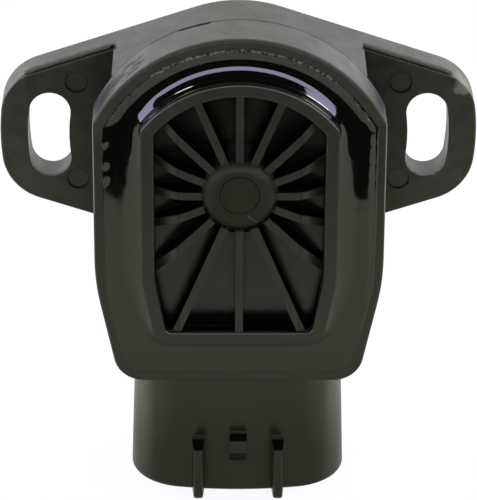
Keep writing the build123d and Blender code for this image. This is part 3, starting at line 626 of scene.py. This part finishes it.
def flash_tree(material):
    """Geometry Nodes tree: lumps of ragged flash strewn along a path, thinned out at random."""
    tree = bpy.data.node_groups.new("ragged_flash", "GeometryNodeTree")
    tree.is_modifier = True
    face = tree.interface
    face.new_socket("Path", in_out="INPUT", socket_type="NodeSocketGeometry")
    for name, kind, value in (
        ("Spacing", "NodeSocketFloat", 0.2 * MM), ("Size", "NodeSocketFloat", 0.1 * MM),
        ("Stretch", "NodeSocketFloat", 2.0), ("Stray", "NodeSocketFloat", 0.05 * MM),
        ("Kept", "NodeSocketFloat", 1.0), ("Seed", "NodeSocketInt", 1),
    ):
        face.new_socket(name, in_out="INPUT", socket_type=kind).default_value = value
    face.new_socket("Flash", in_out="OUTPUT", socket_type="NodeSocketGeometry")

    def node(kind, links=(), values=(), **settings):
        return add_node(tree, kind, links, values, **settings)

    group = node("NodeGroupInput").outputs
    seed = ("Seed", group["Seed"])
    curve = node("GeometryNodeMeshToCurve", [("Mesh", group["Path"])]).outputs[0]
    points = node("GeometryNodeCurveToPoints", [("Curve", curve), ("Length", group["Spacing"])], mode="LENGTH")
    kept = node("FunctionNodeRandomValue", [("Probability", group["Kept"]), seed], data_type="BOOLEAN")
    lumps = node("GeometryNodeMeshIcoSphere", [], [("Subdivisions", 2), ("Radius", 1.0)])
    limits = [(0, -STRAY_LIMIT), (1, STRAY_LIMIT)]
    stray = node("FunctionNodeRandomValue", [seed], limits, data_type="FLOAT_VECTOR")
    offset = node("ShaderNodeVectorMath", [(0, stray.outputs[0]), ("Scale", group["Stray"])], operation="SCALE")
    moved = node("GeometryNodeSetPosition", [
        ("Geometry", points.outputs["Points"]), ("Offset", offset.outputs[0]),
    ])
    swell = node("FunctionNodeRandomValue", [seed], [(2, LEAST_SWELL), (3, 1.0)], data_type="FLOAT")
    size = node("ShaderNodeMath", [(0, swell.outputs[1]), (1, group["Size"])], operation="MULTIPLY").outputs[0]
    length = node("ShaderNodeMath", [(0, size), (1, group["Stretch"])], operation="MULTIPLY").outputs[0]
    scale = node("ShaderNodeCombineXYZ", [("X", size), ("Y", size), ("Z", length)])
    strewn = node("GeometryNodeInstanceOnPoints", [
        ("Points", moved.outputs[0]), ("Selection", kept.outputs[3]), ("Instance", lumps.outputs["Mesh"]),
        ("Rotation", points.outputs["Rotation"]), ("Scale", scale.outputs[0]),
    ])
    made_real = node("GeometryNodeRealizeInstances", [(0, strewn.outputs[0])])
    coloured = node("GeometryNodeSetMaterial", [("Geometry", made_real.outputs[0])], [("Material", material)])
    node("NodeGroupOutput", [(0, coloured.outputs[0])])
    return tree


def flash(name, tree, path, **inputs):
    """Plain mesh of the flash along a path of points, with the tree's inputs in metres."""
    line = bpy.data.meshes.new(name + "_path")
    line.from_pydata([Vector(point) * MM for point in path], [(k, k + 1) for k in range(len(path) - 1)], [])
    strip = bpy.data.objects.new(name, line)
    bpy.context.scene.collection.objects.link(strip)
    modifier = strip.modifiers.new("flash", "NODES")
    modifier.node_group = tree
    for item in tree.interface.items_tree:
        if item.in_out == "INPUT" and item.name in inputs:
            modifier[item.identifier] = inputs[item.name]
    solid = bpy.data.meshes.new_from_object(strip.evaluated_get(bpy.context.evaluated_depsgraph_get()))
    strip.modifiers.remove(modifier)
    strip.data = solid
    solid.name = name
    solid.shade_smooth()
    bpy.data.meshes.remove(line)
    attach(strip, "sensor_body")


def arc(radius, start, end):
    """Points of an arc round the axis in the rim's plane."""
    angles = [radians(start + (end - start) * k / ARC_POINTS) for k in range(ARC_POINTS + 1)]
    return [(radius * cos(angle), -FLASH_DEPTH, radius * sin(angle)) for angle in angles]


def rim_flash():
    """Ragged ridge that the resin left along the rim's inner edge, and the specks beyond its ends."""
    tree = flash_tree(flash_plastic())
    flash(
        "flash_ridge", tree, arc(FLASH_RADIUS, *RIDGE_ANGLES),
        Spacing=0.15 * MM, Size=0.17 * MM, Stretch=2.8, Stray=0.12 * MM, Kept=0.92, Seed=3,
    )
    flash(
        "flash_dashes", tree, arc(FLASH_RADIUS - SPECK_INSET, *DASH_ANGLES),
        Spacing=0.4 * MM, Size=0.15 * MM, Stretch=2.2, Stray=0.12 * MM, Kept=0.5, Seed=8,
    )
    flash(
        "flash_left", tree, arc(FLASH_RADIUS - SPECK_INSET, *LEFT_ANGLES),
        Spacing=0.5 * MM, Size=0.1 * MM, Stretch=2.4, Stray=0.1 * MM, Kept=0.4, Seed=5,
    )
    flash(
        "flash_right", tree, [(RIGHT_SIDE, -FLASH_DEPTH, height) for height in RIGHT_HEIGHTS],
        Spacing=0.4 * MM, Size=0.06 * MM, Stretch=1.4, Stray=0.1 * MM, Kept=0.5, Seed=11,
    )


resin = casting_resin()
dress(housing_plastic(), "housing")
dress(cover_plastic(), "ribbed_cover")
dress(resin, "potting_seal")
pool = resin_pool(resin)
rim_flash()
dress(
    speckled("card_laminate", (0.16, 0.075, 0.022), (0.22, 0.11, 0.035), size=1.5, roughness=0.5),
    "resistor_board",
)
dress(
    speckled("carbon_track", (0.012, 0.012, 0.013), (0.022, 0.022, 0.023), size=0.4, roughness=0.6),
    "resistor_track",
)
dress(
    speckled("silver_track", (0.55, 0.54, 0.5), (0.66, 0.65, 0.61), size=0.4, roughness=0.4, metallic=0.9),
    "collector_track", "idle_track", "ground_track",
)
dress(
    speckled(
        "terminal_brass", (0.62, 0.57, 0.43), (0.7, 0.66, 0.54), size=0.5, roughness=0.3, metallic=1.0,
        grain=0.001, stretch=(1, 1, 6),
    ),
    "supply_terminal", "signal_terminal", "idle_terminal", "ground_terminal",
)
dress(speckled("rotor_plastic", (0.42, 0.37, 0.27), (0.5, 0.45, 0.35), size=2.0, roughness=0.5), "rotor")
dress(
    speckled(
        "steel", (0.4, 0.4, 0.4), (0.5, 0.5, 0.5), size=0.4, roughness=0.35, metallic=1.0,
        grain=0.001, stretch=(1, 8, 1),
    ),
    "drive_insert", "pivot_pin",
)
dress(
    speckled("contact_brass", (0.62, 0.42, 0.18), (0.7, 0.5, 0.24), size=0.4, roughness=0.3, metallic=1.0),
    "output_wiper", "idle_wiper",
)
dress(
    speckled("spring_steel", (0.3, 0.3, 0.31), (0.38, 0.38, 0.39), size=0.3, roughness=0.4, metallic=1.0),
    "return_spring",
)
dress(
    speckled("bush_metal", (0.42, 0.27, 0.11), (0.52, 0.35, 0.16), size=0.3, roughness=0.5, metallic=1.0),
    "shaft_bush",
)
dress(
    speckled("seal_rubber", (0.009, 0.009, 0.009), (0.016, 0.016, 0.016), size=0.8, roughness=0.6),
    "shaft_seal", "o_ring",
)
dress(
    speckled("washer_plastic", (0.56, 0.53, 0.45), (0.64, 0.61, 0.54), size=1.0, roughness=0.45),
    "thrust_washer",
)


# Camera, fitted to the photograph
CAMERA_PLACE = Vector((-3.44, -340.481, 155.603)) * MM
CAMERA_TURN = Euler((radians(62.959), radians(-0.265), radians(-0.465)))
CAMERA_LENS, CAMERA_SENSOR, CAMERA_NEAR = 216, 36, 0.01
# Room: how far back its white walls begin and how high they end, and its glow without them
WALLS, CEILING, BACKDROP, ROOM = (0.0, 0.45), (0.8, 0.9), 1.6, 0.02
# Floor: its edges, its paper and its share of pure white in the picture, and its glow in mirrors in front of the
# sensor, darker near it as a painted shadow, and behind and beside it
FLOOR_NEAR, FLOOR_HALF, FLOOR_GAP = -0.1033, 0.6, 0.00005
PAPER, PAPER_DARK, PAPER_PALE, PAPER_ROUGHNESS = (30, 2), (0.88, 0.88, 0.88), (0.92, 0.92, 0.92), 0.9
FLOOR_WHITE = 0.9
FRONT_GLOW, NEAR_SHADOW_GLOW, NEAR_SHADOW_RUN = (0.87, 0.87, 0.87), (0.48, 0.48, 0.48), (-70.0, -25.0)
BEHIND_RUN, BESIDE_RUN = (0.0, 20.0), (15.0, 40.0)
# Lamp panels: middle, turn about the vertical in degrees, width and height
SOFTBOX_GLOW, SOFTBOX_VIOLET = 23.5, (0.63, 0.62, 1.0)
SOFTBOXES = {
    "front_softbox": ((0, -0.52, 0.252), 0, 1.04, 0.28),
    "left_softbox": ((-0.52, -0.06, 0.162), -90, 0.92, 0.264),
    "right_softbox": ((0.52, -0.06, 0.3375), 90, 0.92, 0.365),
}
GLINT_GLOW = 70
GLINTS = {
    "left_glint": ((-0.369, 0.211, 0.625), 240, 0.45, 0.25),
    "right_glint": ((0.453, 0.211, 0.394), 115, 0.45, 0.25),
}


def studio_camera():
    data = bpy.data.cameras.new("camera")
    data.lens = CAMERA_LENS
    data.sensor_width = CAMERA_SENSOR
    data.clip_start = CAMERA_NEAR
    camera = bpy.data.objects.new("camera", data)
    camera.location = CAMERA_PLACE
    camera.rotation_euler = CAMERA_TURN
    bpy.context.scene.collection.objects.link(camera)
    bpy.context.scene.camera = camera


def softbox(name, middle, turn, width, height, glow, colour):
    """Upright lamp panel; the resin mirrors the violet ones as the crescent over the arch."""
    data = bpy.data.lights.new(name, "AREA")
    data.shape = "RECTANGLE"
    data.size = width
    data.size_y = height
    data.energy = glow * width * height
    data.color = colour
    lamp = bpy.data.objects.new(name, data)
    lamp.location = middle
    lamp.rotation_euler = Euler((radians(90), 0, radians(turn)))
    lamp.visible_camera = False
    bpy.context.scene.collection.objects.link(lamp)
    return lamp


def studio_world():
    """White for the camera; what lights and mirrors in the object is a dark room in front and white behind."""
    world = bpy.data.worlds.new("studio")
    bpy.context.scene.world = world
    world.use_nodes = True
    tree = world.node_tree
    tree.nodes.clear()
    place = add_node(tree, "ShaderNodeTexCoord")
    split = add_node(tree, "ShaderNodeSeparateXYZ", [(0, place.outputs["Generated"])])
    walls = smooth_step(tree, split.outputs["Y"], *WALLS, 0.0, BACKDROP)
    below_ceiling = smooth_step(tree, split.outputs["Z"], *CEILING, 1.0, 0.0)
    shares = [(0, walls), (1, below_ceiling)]
    lit = add_node(tree, "ShaderNodeMath", shares, [(2, ROOM)], operation="MULTIPLY_ADD")
    room = add_node(tree, "ShaderNodeBackground", [("Strength", lit.outputs[0])], [("Color", (*WHITE, 1))])
    white = add_node(tree, "ShaderNodeBackground", [], [("Color", (*WHITE, 1))])
    path = add_node(tree, "ShaderNodeLightPath")
    mix = add_node(tree, "ShaderNodeMixShader", [
        ("Fac", path.outputs["Is Camera Ray"]), (1, room.outputs[0]), (2, white.outputs[0]),
    ])
    add_node(tree, "ShaderNodeOutputWorld", [("Surface", mix.outputs[0])])


def studio_floor():
    """White table that ends a short way in front of the sensor, so that the resin mirrors its edge."""
    mesh = bpy.data.meshes.new("floor")
    height = cad_box[0][2] - FLOOR_GAP
    near, far = FLOOR_NEAR, FLOOR_HALF
    corners = [(-FLOOR_HALF, near), (FLOOR_HALF, near), (FLOOR_HALF, far), (-FLOOR_HALF, far)]
    mesh.from_pydata([(x, y, height) for x, y in corners], [], [(0, 1, 2, 3)])
    floor = bpy.data.objects.new("floor", mesh)
    bpy.context.scene.collection.objects.link(floor)
    finish = Finish("floor_white")
    paper = finish.blend(finish.noise(*PAPER), PAPER_DARK, PAPER_PALE)
    finish.set(base_color=paper, roughness=PAPER_ROUGHNESS)
    # In mirrors the floor is darker near the sensor, as its painted shadow
    front = finish.blend(finish.fade(finish.y, *NEAR_SHADOW_RUN), FRONT_GLOW, NEAR_SHADOW_GLOW)
    around = finish.any(finish.fade(finish.y, *BEHIND_RUN), finish.fade(finish.side, *BESIDE_RUN))
    mirrored = finish.node("ShaderNodeEmission", [("Color", finish.blend(around, front, WHITE))])
    path = finish.node("ShaderNodeLightPath")
    in_mirrors = finish.node("ShaderNodeMixShader", [
        ("Fac", path.outputs["Is Glossy Ray"]), (1, finish.shader.outputs[0]), (2, mirrored.outputs[0]),
    ])
    seen = finish.math("MULTIPLY", path.outputs["Is Camera Ray"], FLOOR_WHITE)
    glow = finish.node("ShaderNodeEmission", [], [("Color", (*WHITE, 1))])
    in_picture = finish.node("ShaderNodeMixShader", [
        ("Fac", seen), (1, in_mirrors.outputs[0]), (2, glow.outputs[0]),
    ])
    finish.put(finish.tree.nodes["Material Output"].inputs["Surface"], in_picture.outputs[0])
    mesh.materials.append(finish.material)


studio_camera()
studio_world()
studio_floor()
for name, panel in SOFTBOXES.items():
    softbox(name, *panel, SOFTBOX_GLOW, SOFTBOX_VIOLET)
on_resin = bpy.data.collections.new("lit_by_glints")
on_resin.objects.link(pool)
for name, panel in GLINTS.items():
    softbox(name, *panel, GLINT_GLOW, WHITE).light_linking.receiver_collection = on_resin
bpy.context.scene.view_settings.view_transform = "Standard"
